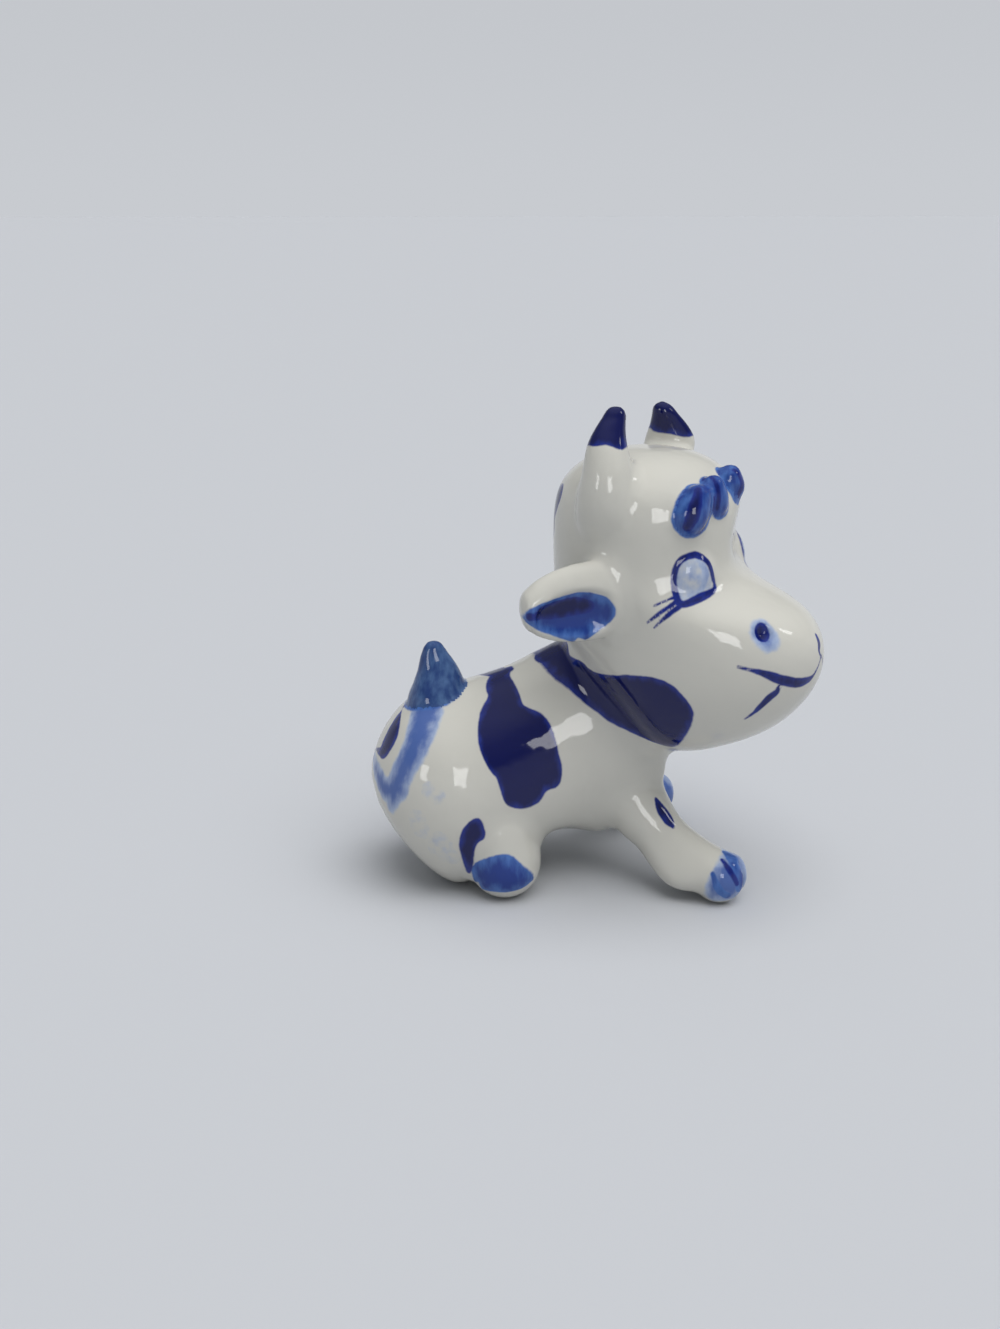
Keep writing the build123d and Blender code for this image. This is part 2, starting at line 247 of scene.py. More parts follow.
for (x, y), across, rise, width, behind in PUSHES:
    shown = BVHTree.FromBMesh(skin).ray_cast(camera_place, pixel_ray(x, y).normalized())[0]
    centre = shown - backward * behind * MM
    print("pushing at", (x, y), "mm:", [round(value / MM, 1) for value in centre])
    for vert in skin.verts:
        share = 1 - (vert.co - centre).length / (width * MM)
        if share > 0:
            vert.co += (rightward * across + upward * rise) * MM * share * share * (3 - 2 * share)
            vert.co.z = max(vert.co.z, 0)
skin.normal_update()
normals = [vert.normal.copy() for vert in skin.verts]

# %% [markdown]
# The figurine is still made of separate pieces, so the skin is cut apart again along the middle of each
# joint. A stray patch goes to the piece round it. Every piece is closed with a hidden face where it sits on
# its neighbour, and keeps the normals of the whole skin, so that no cut shows through the glaze.

# %% Share out the skin
def patches(labels):
    """Groups of faces that touch and have the same label."""
    seen = set()
    for start in skin.faces:
        if start.index in seen:
            continue
        seen.add(start.index)
        group = [start]
        for face in group:
            for edge in face.edges:
                for other in edge.link_faces:
                    if other.index not in seen and labels[other.index] == labels[start.index]:
                        seen.add(other.index)
                        group.append(other)
        yield group


skin.faces.ensure_lookup_table()
skin.faces.index_update()
labels = []
for face in skin.faces:
    votes = [owners[vert.index] for vert in face.verts]
    labels.append(max(set(votes), key=votes.count))
groups = sorted(patches(labels), key=len, reverse=True)
placed = set()
for group in groups:
    label = labels[group[0].index]
    if label in placed:
        rim = [other for face in group for edge in face.edges for other in edge.link_faces]
        beside = [labels[other.index] for other in rim if labels[other.index] != label]
        label = max(set(beside), key=beside.count) if beside else order.index("body")
        for face in group:
            labels[face.index] = label
    placed.add(label)
print(len(groups), "patches of skin for", len(order), "pieces")

# %% Cut the skin apart
pieces = {}
for number, name in enumerate(order):
    part = bmesh.new()
    copies = {}
    for face in skin.faces:
        if labels[face.index] == number:
            for vert in face.verts:
                if vert.index not in copies:
                    copies[vert.index] = part.verts.new(vert.co)
            part.faces.new([copies[vert.index] for vert in face.verts])
    rims = [edge for edge in part.edges if edge.is_boundary]
    lids = bmesh.ops.holes_fill(part, edges=rims, sides=0)["faces"]
    bmesh.ops.poke(part, faces=lids)
    for face in part.faces:
        face.smooth = True
    spare = [Vector() for vert in range(len(part.verts) - len(copies))]
    pieces[name] = new_piece(name + "_glazed", part)
    pieces[name].data.normals_split_custom_set_from_vertices([normals[index] for index in copies] + spare)
    print(name, len(pieces[name].data.polygons), "faces,", len(lids), "lids")
skin.free()

# %% Put the pieces on the figurine
for name, piece in pieces.items():
    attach(piece, "root")
    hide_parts(name)

# %% [markdown]
# The decoration is cobalt oxide, brushed on by hand under the glaze. It could be a picture wrapped round the
# piece, but brush marks are simple: a stroke has a route and a width, and a spot has an outline. Each mark
# is given where the photograph shows it, laid on the skin, and stored as a depth in millimetres: how far
# inside the mark's edge each point of the skin lies. A depth stays sharp on a coarse mesh, where a colour
# would blur.

# %% Get the skin ready for paint
LAYERS = ("wash", "cobalt", "ink")
BARE = -5.0
places = {
    name: numpy.array([vert.co / MM for vert in piece.data.vertices]) for name, piece in pieces.items()
}
facings = {
    name: numpy.array([vert.normal[:] for vert in piece.data.vertices]) for name, piece in pieces.items()
}
surfaces = {
    name: BVHTree.FromPolygons([v.co for v in piece.data.vertices], [p.vertices for p in piece.data.polygons])
    for name, piece in pieces.items()
}
depths = {name: {layer: numpy.full(len(places[name]), BARE) for layer in LAYERS} for name in pieces}
print("points to paint:", sum(len(spots) for spots in places.values()))

# %% [markdown]
# A mark's pixels are looked up only on the pieces that carry it, as if the others weren't there, so an ear
# in front of the neck doesn't catch the neck's paint. A pixel just outside a piece can cling to the point
# of the piece nearest to its ray.

# %% Find the skin behind a pixel
DEPTH_SPAN = 40
DEPTHS = [CAMERA_DISTANCE + number * MM for number in range(-DEPTH_SPAN, DEPTH_SPAN + 1)]
FLANK_PIXEL = (520, 740)


def beside_skin(ray, names):
    """The point of the pieces named that a ray passes nearest to."""
    stops = [camera_place + ray * depth for depth in DEPTHS]
    found = (surfaces[name].find_nearest(stop) for name in names for stop in stops)
    return min(found, key=lambda near: near[3])[0]


def first_hit(ray, names):
    """The first point of the pieces named that a ray meets."""
    found = [surfaces[name].ray_cast(camera_place, ray.normalized()) for name in names]
    return min((hit for hit in found if hit[0]), key=lambda hit: hit[3], default=(None,))[0]


def on_skin(pixels, names, cling=False):
    """The points of the pieces named, in millimetres, that show at pixels. A pixel beside them clings to
    them, or keeps the others' depth."""
    rays = [pixel_ray(x, y) for x, y in pixels]
    hits = [first_hit(ray, names) for ray in rays]
    if cling:
        hits = [hit or beside_skin(ray, names) for ray, hit in zip(rays, hits)]
    deep = [(camera_place - hit).dot(backward) for hit in hits if hit]
    middle = sum(deep) / len(deep)
    return numpy.array([(hit or camera_place + ray * middle) / MM for ray, hit in zip(rays, hits)])


print("the flank shows at", on_skin([FLANK_PIXEL], ["body"])[0].round(1), "mm")

# %% [markdown]
# A stroke swells and thins along its route, as a pointed brush does when it is pressed and lifted. A spot
# is measured from its outline, seen square to it. Outside a mark the depth is negative.

# %% Measure strokes
CURVE_STEPS = 4


def rounded(stops, closed=False):
    """The stops with more between them, on a smooth curve through them."""
    stops = numpy.array(stops, dtype=float)
    if closed:
        before, after, ahead = (numpy.roll(stops, shift, axis=0) for shift in (1, -1, -2))
    else:
        before = numpy.concatenate((stops[:1], stops[:-1]))
        after = numpy.concatenate((stops[1:], stops[-1:]))
        ahead = numpy.concatenate((stops[2:], stops[-1:], stops[-1:]))
    curve = []
    for a, b, c, d in zip(before, stops, after, ahead):
        square = 2 * a - 5 * b + 4 * c - d
        cube = 3 * b - a - 3 * c + d
        for step in range(CURVE_STEPS):
            t = step / CURVE_STEPS
            curve.append(b + (t * (c - a) + t ** 2 * square + t ** 3 * cube) / 2)
    return curve if closed else curve[:1 - CURVE_STEPS]


def stroke_depth(spots, route, radii):
    """How deep places lie inside a brush stroke that swells and thins along its route."""
    depth = numpy.full(len(spots), BARE)
    for start, end, wide, narrow in zip(route, route[1:], radii, radii[1:]):
        way = end - start
        share = numpy.clip((spots - start) @ way / (way @ way), 0, 1)
        gap = numpy.linalg.norm(spots - start - share[:, None] * way, axis=1)
        depth = numpy.maximum(depth, wide + (narrow - wide) * share - gap)
    return depth


print("a curve has", CURVE_STEPS, "steps from each stop to the next")

# %% Measure spots
FACING_LEAST = -0.1
ALL_ROUND = 10.0


def square_to(outline):
    """The middle of an outline, its normal towards the camera, and two axes in its plane."""
    centre = outline.mean(axis=0)
    spokes = outline - centre
    normal = sum(numpy.cross(p, q) for p, q in zip(spokes, numpy.roll(spokes, -1, axis=0)))
    normal = normal / numpy.linalg.norm(normal) * math.copysign(1, normal @ numpy.array(backward))
    across = spokes[0] - (spokes[0] @ normal) * normal
    across = across / numpy.linalg.norm(across)
    return centre, normal, numpy.array((across, numpy.cross(normal, across))).T


def spot_depth(spots, facing, outline, reach):
    """How deep places lie inside an outline, seen square to it, no further from its plane than the reach.
    The brush only reaches skin that faces it, unless the reach is long enough to go all round."""
    centre, normal, axes = square_to(outline)
    flat = (spots - centre) @ axes
    corners = (outline - centre) @ axes
    inside = numpy.zeros(len(spots), dtype=bool)
    gap = numpy.full(len(spots), -BARE)
    for p, q in zip(corners, numpy.roll(corners, -1, axis=0)):
        way = q - p
        share = numpy.clip((flat - p) @ way / (way @ way), 0, 1)
        gap = numpy.minimum(gap, numpy.linalg.norm(flat - p - share[:, None] * way, axis=1))
        if p[1] != q[1]:
            crosses = (p[1] > flat[:, 1]) != (q[1] > flat[:, 1])
            inside ^= crosses & (flat[:, 0] < p[0] + (flat[:, 1] - p[1]) / (q[1] - p[1]) * way[0])
    depth = numpy.where(inside, gap, -gap)
    faces_brush = (facing @ normal > FACING_LEAST) | (reach > ALL_ROUND)
    return numpy.where((numpy.abs((spots - centre) @ normal) < reach) & faces_brush, depth, BARE)


print("a spot that reaches more than", ALL_ROUND, "mm goes all round")

# %% [markdown]
# The painter gave both sides of the head and of the body the same marks, so each is laid on the side that
# shows and turned over to the other. The head is turned to the calf's right, and its mirror plane with it.

# %% Turn marks over to the other side
HEAD_TURN = math.radians(40.0)
HEAD_PIVOT = numpy.array((20.5, -1.0, 0.0))


def mirror(normal, centre):
    """The way to turn places over to the other side of a plane."""
    return lambda spots: spots - 2 * ((spots - centre) @ normal)[:, None] * normal


HEAD_MIRROR = mirror(numpy.array((math.sin(HEAD_TURN), math.cos(HEAD_TURN), 0.0)), HEAD_PIVOT)
BODY_MIRROR = mirror(numpy.array((0.0, 1.0, 0.0)), numpy.zeros(3))


def add_mark(layer, names, measure, both_sides=None):
    """Adds a mark to the pieces named, and to their other side when a way to turn places over is given."""
    for name in names:
        sides = [(places[name], facings[name])]
        if both_sides:
            over = both_sides(places[name])
            sides.append((over, both_sides(places[name] + facings[name]) - over))
        for spots, facing in sides:
            depths[name][layer] = numpy.maximum(depths[name][layer], measure(spots, facing))


print("the head's mirror plane is turned", round(math.degrees(HEAD_TURN)), "degrees")

# %% Take up the brush
SPOT_REACH = 7.0


def brush(layer, names, stops, both_sides=None, most=-BARE):
    """A stroke through pixels, each with its radius there in pixels, and the most that its depth comes to."""
    route = on_skin([(x, y) for x, y, _ in stops], names, cling=True)
    pixel = numpy.linalg.norm(route.mean(axis=0) - numpy.array(camera_place / MM)) / FOCAL_PIXELS
    curve = rounded([(*place, radius * pixel) for place, (*_, radius) in zip(route, stops)])
    route, radii = [stop[:3] for stop in curve], [stop[3] for stop in curve]

    def measure(spots, facing):
        return numpy.minimum(stroke_depth(spots, route, radii), most)

    add_mark(layer, names, measure, both_sides)


def spot(layer, names, outline, reach=SPOT_REACH, both_sides=None, most=-BARE, cling=False):
    """A spot with an outline in pixels, and the most that its depth comes to."""
    corners = on_skin(rounded(outline, closed=True), names, cling)

    def measure(spots, facing):
        return numpy.minimum(spot_depth(spots, facing, corners, reach), most)

    add_mark(layer, names, measure, both_sides)


print("a spot reaches", SPOT_REACH, "mm from the plane of its outline")

# %% [markdown]
# The eyes, the nostrils and the mouth are fine strokes of a pointed brush, with a pale wash inside the
# eyes and round the nostrils.

# %% Paint the face
EYE_RING = (
    (695, 554.5, 3.6), (707, 561, 3.6), (712.5, 575, 3.4), (715, 588, 2.8), (702, 597, 4.6),
    (682, 604.5, 4.0), (675, 591, 3.4), (674, 575, 3.2), (681, 560, 3.4), (695, 554.5, 3.6),
)
EYE_INSIDE = (
    (694, 557), (705, 562), (711, 576), (713, 588), (701, 595),
    (683, 603), (676, 590), (675, 576), (681, 562),
)
EYE_LOAD = 0.1
EYE_SHADE = ((702, 564, 4.0), (706, 575, 5.5), (703, 587, 4.5))
EYE_SHADE_LOAD = 0.5
LASHES = (
    ((680, 606, 3.0), (666, 617, 2.2), (654, 628, 1.0)),
    ((676, 602, 2.6), (660, 613, 1.9), (647, 623, 1.0)),
    ((673, 598, 1.6), (663, 602, 1.1), (654, 606, 0.9)),
)
MOUTH = (
    (738, 667, 1.4), (755, 671, 2.4), (768, 675, 4.2), (780, 679.5, 5.2), (797, 683, 5.4), (806, 681, 4.8),
    (812, 677, 2.8), (816, 671, 1.4), (819, 664, 1.2), (821, 656, 1.2),
)
SMILE = (
    (778, 686, 1.5), (777, 692, 3.2), (770, 697, 4.2), (761, 706, 3.4), (753.5, 713, 2.2), (745, 719, 1.0),
)
LIP_MARK = ((816, 635, 2.2), (819, 643, 3.4), (819, 651, 2.0), (821, 657, 1.8))
NOSTRIL_HALO = ((759, 634, 14.5), (766, 640, 13.5))
NOSTRIL_CORE = ((759.5, 631, 8.4), (761, 636, 8.8))

spot("wash", ["head"], EYE_INSIDE, both_sides=HEAD_MIRROR, most=EYE_LOAD)
brush("wash", ["head"], EYE_SHADE, HEAD_MIRROR, most=EYE_SHADE_LOAD)
brush("wash", ["head"], NOSTRIL_HALO, HEAD_MIRROR)
for stroke in (EYE_RING, MOUTH, SMILE, NOSTRIL_CORE, *LASHES):
    brush("ink", ["head"], stroke, HEAD_MIRROR)
brush("ink", ["head"], LIP_MARK)
print("points of the head inside a stroke of ink:", int((depths["head"]["ink"] > 0).sum()))

# %% [markdown]
# Broad marks are filled with a loaded brush: the tips of the horns, the insides of the ears, the forelock,
# the tail and the spots of the coat. The tips are painted all round, so their outlines reach right through
# the horns. The curls and the tail are blue all over, and the brush ran a little past their joints.

# %% Paint the horns and ears
HORN_RIGHT_PAINT = ((580, 400), (587, 443), (606, 445), (627, 447), (634, 400), (607, 388))
HORN_LEFT_PAINT = ((640, 400), (649, 428), (670, 434), (694, 435), (700, 400), (668, 388))
HORN_REACH = 30.0
EAR_CUP = (
    (522, 617), (534, 607), (554, 599), (570, 594), (586, 592), (607, 597),
    (616, 610), (612, 621), (600, 630), (580, 642), (553, 636), (534, 628),
)
EAR_REACH = 1.9
# The ink in the hollow of each ear cup, over its cobalt, is painted shade where the cup is deepest.
EAR_HOLLOW_SHADE = ((529, 617, 4), (541, 612, 8.5), (556, 609, 10.5), (572, 606, 10.5), (587, 606, 7.5))
EARS = ["ear_right", "ear_left"]

spot("ink", ["horn_right"], HORN_RIGHT_PAINT, reach=HORN_REACH)
spot("ink", ["horn_left"], HORN_LEFT_PAINT, reach=HORN_REACH)
spot("cobalt", EARS, EAR_CUP, reach=EAR_REACH, both_sides=HEAD_MIRROR)
# painted shade: ink darkens the hollow of each ear cup
brush("ink", EARS, EAR_HOLLOW_SHADE, HEAD_MIRROR)
print("painted points of the ears:", {name: int((depths[name]["cobalt"] > 0).sum()) for name in EARS})

# %% Paint the forelock and the tail
LOCK_STRANDS = (
    ("forelock_right", ((698, 490, 4.0), (696, 504, 6.5), (692, 518, 7.0), (687, 528, 5.0))),
    ("forelock_middle", ((703, 479, 2.5), (708, 488, 2.5), (709, 500, 2.5), (707, 511, 2.0))),
    ("forelock_middle", ((711, 477, 2.0), (717, 486, 2.5), (719, 498, 2.5), (717, 509, 2.0))),
    ("forelock_left", ((734, 470, 2.5), (741, 478, 3.5), (742, 488, 4.0), (738, 497, 3.0))),
)
WHOLE = 0.9
LOCK_OVERRUN = 0.45
TAIL_OVERRUN = 0.3


def paint_whole(painted, beside, overrun):
    """Paints a whole piece, and the piece beside it as far as the brush ran over, in millimetres."""
    depths[painted]["cobalt"][:] = WHOLE
    depth = depths[beside]["cobalt"]
    for number, place in enumerate(places[beside]):
        distance = trees[painted].find_nearest(place * MM, REACH)[3]
        if distance is not None:
            depth[number] = max(depth[number], overrun - distance / MM)


for lock, strand in LOCK_STRANDS:
    brush("ink", [lock], strand)
for lock in ("forelock_right", "forelock_middle", "forelock_left"):
    paint_whole(lock, "head", LOCK_OVERRUN)
paint_whole("tail", "body", TAIL_OVERRUN)
print("painted over the joints by up to", LOCK_OVERRUN, "mm")

# %% [markdown]
# The coat has a collar, which runs from the cheek down the neck and over the nape, a large spot on each
# flank, and smaller ones lower down. The camera doesn't see the nape, so the two sides of the collar are
# joined there by a stroke from a point on one side to the same point on the other.

# %% Paint the collar
CHEEK_PATCH = (
    (534, 652), (545, 641), (557, 636), (567, 642), (570, 655), (582, 662), (593, 671), (610, 675),
    (633, 675), (656, 678), (673.5, 686), (685, 698), (693, 710), (693, 720), (688, 732), (679, 744),
    (672, 747), (662, 745), (645, 739), (628, 731), (608, 721), (594, 710), (582, 701), (568, 689),
    (555, 679), (544, 668),
)
COLLAR_REACH = 6.5
NAPE_PIXEL = (552, 650)
NAPE_WIDTH = 5.8

spot("ink", ["head", "body"], CHEEK_PATCH, reach=COLLAR_REACH, both_sides=HEAD_MIRROR, cling=True)
near_end = on_skin([NAPE_PIXEL], ["body"])
far_end = HEAD_MIRROR(near_end)
nape = surfaces["body"].find_nearest(Vector((near_end + far_end)[0] / 2 * MM))[0]
nape_route = (near_end[0], numpy.array(nape / MM), far_end[0])
nape_radii = (NAPE_WIDTH / 2,) * len(nape_route)
add_mark("ink", ["head", "body"], lambda spots, facing: stroke_depth(spots, nape_route, nape_radii))
print("the collar crosses the nape from", near_end[0].round(1), "to", far_end[0].round(1), "mm")

# %% Paint the flanks and the hind legs
FLANK_SPOT = (
    (493, 673), (512, 666), (510, 675), (515, 684), (520, 695), (523, 704), (530, 708), (541, 713),
    (550, 724), (556, 741), (559, 754), (562, 767), (561, 780), (556, 788), (547, 791), (538, 803),
    (523, 809), (507, 805), (501, 793), (497, 779), (492, 774), (486, 764), (480, 750), (477.5, 735),
    (478, 724), (480, 713), (484, 704), (488, 696), (486, 690), (487, 681),
)
COMMA_SPOT = (
    (477, 818), (482, 821.5), (485.6, 832), (484, 839), (478, 843.5), (475, 850), (474, 858.5),
    (473, 866.5), (470, 873.5), (466, 870.5), (462, 858.5), (459, 844.5), (462, 831), (470, 821),
)
HOOF_SPOT = (
    (472, 866), (495, 855.5), (510, 855), (524, 866), (534, 877),
    (527, 885), (515, 891), (495, 892), (478, 886),
)
HIND_REACH = 4.5
HIND_PIECES = ["body", "hind_leg_right", "hind_leg_left"]

spot("ink", ["body"], FLANK_SPOT, both_sides=BODY_MIRROR)
spot("ink", HIND_PIECES, COMMA_SPOT, reach=HIND_REACH, both_sides=BODY_MIRROR)
spot("cobalt", HIND_PIECES, HOOF_SPOT, reach=HIND_REACH, both_sides=BODY_MIRROR)
print("points of the body inside a spot:", int((depths["body"]["ink"] > 0).sum()))

# %% [markdown]
# Below the tail a wet brush left a pale run of wash with a short arm, and a few smudges. A smudge is so thin
# that its depth stays below zero: only the wavering of its edge shows through.

# %% Paint the rump and the back of the head
RUMP_PATCH = (
    (404, 699), (401, 716), (398, 735), (391, 750), (383, 759),
    (376, 750), (377, 742), (385, 724), (394, 710),
)
TAIL_WASH = (
    (425, 715, 19), (420, 731, 17), (415, 746, 16), (408, 761, 15.5), (401, 774, 15),
    (393, 794, 13), (391, 808, 6),
)
TAIL_WASH_ARM = ((398, 788, 14), (386, 790, 13), (378, 775, 10), (374, 757, 6))
SMUDGES = (
    ((430, 791, 8), (436, 796, 8)),
    ((417, 819, 9), (420, 829, 10)),
    ((440, 842, 11), (442, 852, 12), (452, 858, 8)),
)
SMUDGE_LOAD = -0.18
BACK_OF_HEAD = ((558, 496, 13), (553, 512, 17), (553, 524, 13))

spot("ink", ["body"], RUMP_PATCH)
brush("wash", ["body"], TAIL_WASH)
brush("wash", ["body"], TAIL_WASH_ARM)
for smudge in SMUDGES:
    brush("wash", ["body"], smudge, most=SMUDGE_LOAD)
brush("ink", ["head"], BACK_OF_HEAD, HEAD_MIRROR)
print("points of the body inside the wash:", int((depths["body"]["wash"] > 0).sum()))

# %% [markdown]
# The front legs are splayed by different amounts, so no mirror turns one into the other. The left leg is
# painted as if it stood where the right one does: its places are given along the leg and across it.

# %% Paint the front legs
KNEE_SPOT = ((656, 799, 2.0), (662, 810, 6.0), (668, 819, 6.0), (673, 827, 2.0))
FRONT_HOOF = (
    (726, 848), (713.5, 868), (705, 888), (710, 899), (726, 901), (746, 895), (750, 870), (740, 852),
)
FRONT_HOOF_REACH = 12.0
FRONT_HOOF_LOADS = (
    ((727, 853, 5), (737, 868, 8), (742, 884, 9)),
    ((713, 874, 2.5), (718, 888, 4), (727, 896, 4)),
)
TOE_CLEFT = ((722, 860, 2.0), (730, 871, 3.2), (737, 884, 2.6))
FAR_KNEE = ((667, 779, 3.5), (671, 788, 4.5), (675, 799, 3.5))
FAR_KNEE_LOAD = 0.15
FRONT_LEGS = ["front_leg_right", "front_leg_left"]


def leg_frame(name):
    """A front leg's toe, and the level way towards it from the shoulder."""
    spots = places[name]
    toe = spots[spots[:, 0].argmax()]
    ahead = (toe - spots[spots[:, 2].argmax()]) * (1, 1, 0)
    return toe, ahead / numpy.linalg.norm(ahead)


brush("wash", ["front_leg_left"], FAR_KNEE, most=FAR_KNEE_LOAD)
(toe_right, ahead_right), (toe_left, ahead_left) = (leg_frame(name) for name in FRONT_LEGS)
up = numpy.array((0.0, 0.0, 1.0))
side_right, side_left = numpy.cross(ahead_right, up), numpy.cross(up, ahead_left)
turned = numpy.array((ahead_left, side_left, up)).T @ numpy.array((ahead_right, side_right, up))
places["front_leg_left"] = toe_right + (places["front_leg_left"] - toe_left) @ turned
facings["front_leg_left"] = facings["front_leg_left"] @ turned
brush("ink", FRONT_LEGS, KNEE_SPOT)
spot("wash", FRONT_LEGS, FRONT_HOOF, reach=FRONT_HOOF_REACH)
for load in FRONT_HOOF_LOADS:
    brush("cobalt", FRONT_LEGS, load)
brush("ink", FRONT_LEGS, TOE_CLEFT)
print("the toes are at", toe_right.round(1), "and", toe_left.round(1), "mm")

# %% [markdown]
# Each piece keeps the depths of its marks in an attribute of its points, one layer of paint to a channel:
# red for ink, green for cobalt and blue for wash. The material reads them from there.

# %% Keep the marks on the pieces
for name, piece in pieces.items():
    attribute = piece.data.attributes.new("paint_depth", "FLOAT_COLOR", "POINT")
    columns = [depths[name][layer] for layer in ("ink", "cobalt", "wash")]
    values = numpy.stack(columns + [numpy.ones(len(places[name]))], axis=1)
    attribute.data.foreach_set("color", values.astype(numpy.float32).ravel())
print("marks kept on", len(pieces), "pieces")

# %% [markdown]
# A material is a tree of nodes. One function turns a colour's hex code into the linear values that the
# nodes take, and one adds a node with its settings and links.

# %% Colours and nodes
def colour(code):
    """A colour's hex code as linear values."""
    channels = [int(code[number:number + 2], 16) / 255 for number in (1, 3, 5)]
    return [c / 12.92 if c <= 0.04045 else ((c + 0.055) / 1.055) ** 2.4 for c in channels] + [1.0]


def add_node(tree, kind, settings=None, links=None):
    """Adds a node with its settings and links: a number or a name of a socket is set or linked."""
    node = tree.nodes.new(kind)
    for key, value in (settings or {}).items():
        setattr(node, key, value)
    for key, value in (links or {}).items():
        if isinstance(value, bpy.types.NodeSocket):
            tree.links.new(value, node.inputs[key])
        else:
            node.inputs[key].default_value = value
    return node


print("mid grey is", round(colour("#808080")[0], 3), "as a linear value")

# %% [markdown]
# Hard-paste porcelain is a dense, slightly grey white body under a clear glass glaze. The paint lies between
# the two, so paint and bare clay share one smooth, glossy surface. The colour of cobalt depends on how thick
# it lies: thin it is pale blue, thick it is almost black. The brush leaves streaks in it, and its edge
# wavers. The tail's cobalt is greyer.

# %% Mix the paints
PORCELAIN_WHITE = "#cbc9c0"
# Each paint where it lies thin, and where it lies thick.
WASH_BLUES = ("#a9b7d0", "#4c66a4")
COBALT_BLUES = ("#4870b4", "#1f3a86")
INK_BLUES = ("#1a2c82", "#0a114c")
SLATE_BLUES = ("#506e98", "#233c72")
# Each layer's channel, then the softness of its edge, the depth at which it is thick, how far its edge
# wavers and how much its streaks vary it, in millimetres.
WASH_LAY = ("Blue", 0.6, 0.9, 0.15, 0.5)
COBALT_LAY = ("Green", 0.3, 0.9, 0.08, 0.9)
INK_LAY = ("Red", 0.3, 0.5, 0.05, 0.4)
WOBBLE_SIZE = 1.4 * MM
STREAK_SIZES = (1.3 * MM, 1.3 * MM, 4.0 * MM)  # long and upright, as a brush drawn down leaves them
NOISE_LOW, NOISE_HIGH = 0.3, 0.7  # nearly all of a noise's values lie between these
MIX_BENEATH, MIX_OVER, MIX_RESULT = 6, 7, 2  # the colour sockets of a Mix node
print("paints:", WASH_BLUES, COBALT_BLUES, INK_BLUES, SLATE_BLUES)

# %% Lay wash, cobalt and ink over each other
def painted_colour(tree, place, cobalt_blues):
    """The porcelain's colour with three layers of paint, each thin and pale at its edge and thick inside."""
    depth = add_node(tree, "ShaderNodeAttribute", {"attribute_name": "paint_depth"})
    layers = add_node(tree, "ShaderNodeSeparateColor", None, {"Color": depth.outputs["Color"]})
    wobble = add_node(tree, "ShaderNodeTexNoise", None, {
        "Vector": place, "Scale": 1 / WOBBLE_SIZE, "Detail": 2.0,
    })
    drawn = add_node(tree, "ShaderNodeMapping", None, {
        "Vector": place, "Scale": [1 / size for size in STREAK_SIZES],
    })
    streaks = add_node(tree, "ShaderNodeTexNoise", None, {
        "Vector": drawn.outputs[0], "Scale": 1.0, "Detail": 4.0,
    })
    beneath = colour(PORCELAIN_WHITE)
    for (channel, softness, thickness, waver, streak), (thin, thick) in (
        (WASH_LAY, WASH_BLUES), (COBALT_LAY, cobalt_blues), (INK_LAY, INK_BLUES),
    ):
        wavy = add_node(tree, "ShaderNodeMapRange", None, {
            "Value": wobble.outputs["Fac"], "From Min": NOISE_LOW, "From Max": NOISE_HIGH,
            "To Min": -waver, "To Max": waver,
        })
        edge = add_node(tree, "ShaderNodeMath", {"operation": "ADD"}, {
            0: wavy.outputs[0], 1: layers.outputs[channel],
        })
        cover = add_node(tree, "ShaderNodeMapRange", {"interpolation_type": "SMOOTHSTEP"}, {
            "Value": edge.outputs[0], "From Min": -softness / 2, "From Max": softness / 2,
        })
        streaky = add_node(tree, "ShaderNodeMapRange", None, {
            "Value": streaks.outputs["Fac"], "From Min": NOISE_LOW, "From Max": NOISE_HIGH,
            "To Min": -streak, "To Max": streak,
        })
        load = add_node(tree, "ShaderNodeMath", {"operation": "ADD"}, {
            0: edge.outputs[0], 1: streaky.outputs[0],
        })
        body = add_node(tree, "ShaderNodeMapRange", {"interpolation_type": "SMOOTHSTEP"}, {
            "Value": load.outputs[0], "From Min": -thickness / 2, "From Max": 2 * thickness,
        })
        paint = add_node(tree, "ShaderNodeMix", {"data_type": "RGBA"}, {
            "Factor": body.outputs[0], MIX_BENEATH: colour(thin), MIX_OVER: colour(thick),
        })
        beneath = add_node(tree, "ShaderNodeMix", {"data_type": "RGBA"}, {
            "Factor": cover.outputs[0], MIX_BENEATH: beneath, MIX_OVER: paint.outputs[MIX_RESULT],
        }).outputs[MIX_RESULT]
    return beneath


print("the paint goes on in the order of", LAYERS)

# %% [markdown]
# The glaze is clear glass, melted until it was level, so it is almost mirror smooth. It pools and thins by
# a few hundredths of a millimetre, which makes its reflections ripple. Its IOR is a little below the 1.5 of
# window glass, which matched the strength of the glints.

# %% Glaze and fire
GLAZE_ROUGHNESS = 0.06
GLAZE_IOR = 1.44
GLAZE_WAVE_SIZE = 2.4 * MM
GLAZE_WAVE = 0.07 * MM


def painted_porcelain(name, cobalt_blues):
    """Porcelain with its paint under a clear glaze."""
    material = bpy.data.materials.new(name)
    material.use_nodes = True
    tree = material.node_tree
    tree.nodes.clear()
    place = add_node(tree, "ShaderNodeTexCoord").outputs["Object"]
    waves = add_node(tree, "ShaderNodeTexNoise", None, {
        "Vector": place, "Scale": 1 / GLAZE_WAVE_SIZE, "Detail": 1.0,
    })
    relief = add_node(tree, "ShaderNodeBump", None, {"Height": waves.outputs["Fac"], "Distance": GLAZE_WAVE})
    shader = add_node(tree, "ShaderNodeBsdfPrincipled", None, {
        "Base Color": painted_colour(tree, place, cobalt_blues), "Roughness": GLAZE_ROUGHNESS,
        "IOR": GLAZE_IOR, "Normal": relief.outputs[0],
    })
    add_node(tree, "ShaderNodeOutputMaterial", None, {"Surface": shader.outputs[0]})
    return material


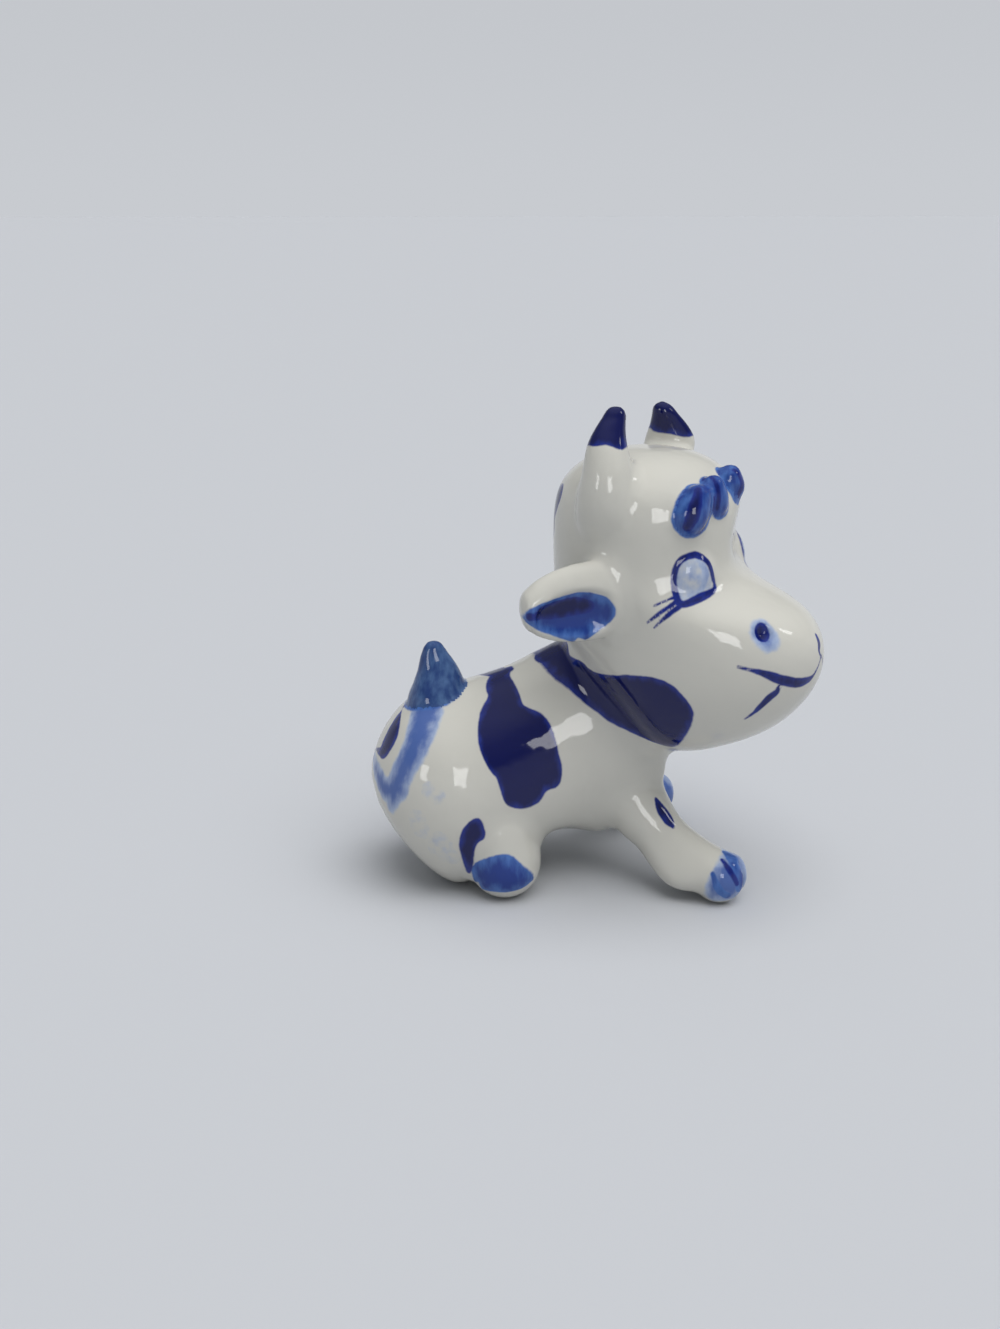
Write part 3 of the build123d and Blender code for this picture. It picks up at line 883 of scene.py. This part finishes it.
glazed_porcelain = painted_porcelain("glazed_porcelain", COBALT_BLUES)
glazed_tail = painted_porcelain("glazed_slate_blue_porcelain", SLATE_BLUES)
for name, piece in pieces.items():
    piece.data.materials.append(glazed_tail if name == "tail" else glazed_porcelain)
print("glazed", len(pieces), "pieces")

# %% [markdown]
# The figurine stands on a sheet of pale paper. Paper is rough and matt, so it gives the eye one even tone
# and a soft shadow, with no reflection of the calf.

# %% Floor
FLOOR_COLOUR = "#c3c5c9"
FLOOR_SIZE = 40.0
PAPER_ROUGHNESS = 0.9
PAPER_SHINE = 0.2

ground = bmesh.new()
bmesh.ops.create_grid(ground, x_segments=1, y_segments=1, size=FLOOR_SIZE / 2)
floor = new_piece("floor", ground)
paper = bpy.data.materials.new("pale_paper")
paper.use_nodes = True
paper.node_tree.nodes.clear()
matt = add_node(paper.node_tree, "ShaderNodeBsdfPrincipled", None, {
    "Base Color": colour(FLOOR_COLOUR), "Roughness": PAPER_ROUGHNESS, "Specular IOR Level": PAPER_SHINE,
})
add_node(paper.node_tree, "ShaderNodeOutputMaterial", None, {"Surface": matt.outputs[0]})
floor.data.materials.append(paper)
print("the floor is", FLOOR_SIZE, "m wide")

# %% [markdown]
# Soft daylight comes from above, a little from the front and the right. It could come from a large lamp, but
# a sun with a wide disc lights the whole floor evenly. The daylight doesn't show in the glaze. Three small
# windows do, as bright glints, and they give no other light.

# %% Daylight and windows
DAYLIGHT = 2.3
DAYLIGHT_DISC = math.radians(60)
DAYLIGHT_PLACE = Vector((0.20, -0.30, 1.0))
WINDOWS = (
    ("far_left_window", (-1.00, -0.64, 0.36), (0.26, 0.32), 1.5),
    ("near_left_window", (-0.12, -1.16, 0.38), (0.34, 0.44), 3.0),
    ("right_window", (0.80, -0.25, 0.70), (0.16, 0.26), 0.8),
)


def hang(name, lamp, place):
    """A lamp at a place, turned towards the figurine."""
    holder = bpy.data.objects.new(name, lamp)
    holder.location = place
    holder.rotation_euler = Vector(place).to_track_quat("Z", "Y").to_euler()
    bpy.context.scene.collection.objects.link(holder)
    return holder


daylight = bpy.data.lights.new("daylight", "SUN")
daylight.energy = DAYLIGHT
daylight.angle = DAYLIGHT_DISC
hang("daylight", daylight, DAYLIGHT_PLACE).visible_glossy = False
for name, place, (width, height), power in WINDOWS:
    lamp = bpy.data.lights.new(name, "AREA")
    lamp.shape = "RECTANGLE"
    lamp.size = width
    lamp.size_y = height
    lamp.energy = power
    hang(name, lamp, place).visible_diffuse = False
print("daylight and", len(WINDOWS), "windows")

# %% [markdown]
# The rest of the room is grey. Its tones run from the level of the horizon to straight up: pale low down,
# dim at the height of the walls, so that the shadows and the dark paint stay deep, and pale again above.

# %% Room
ROOM_TONES = ((0.0, "#c8cbd0"), (0.14, "#c4c7cc"), (0.34, "#76797d"), (0.6, "#8b8e92"), (1.0, "#d2d4d6"))

world = bpy.data.worlds.new("room")
world.use_nodes = True
world.node_tree.nodes.clear()
direction = add_node(world.node_tree, "ShaderNodeTexCoord").outputs["Generated"]
height = add_node(world.node_tree, "ShaderNodeSeparateXYZ", None, {"Vector": direction}).outputs["Z"]
tones = add_node(world.node_tree, "ShaderNodeValToRGB", None, {"Fac": height})
tones.color_ramp.interpolation = "EASE"
for share, code in ROOM_TONES[1:-1]:
    tones.color_ramp.elements.new(share)
for element, (share, code) in zip(tones.color_ramp.elements, ROOM_TONES):
    element.position = share
    element.color = colour(code)
room = add_node(world.node_tree, "ShaderNodeBackground", None, {"Color": tones.outputs["Color"]})
add_node(world.node_tree, "ShaderNodeOutputWorld", None, {"Surface": room.outputs[0]})
bpy.context.scene.world = world
bpy.context.scene.view_settings.view_transform = "Standard"
print("the room has", len(ROOM_TONES), "tones")
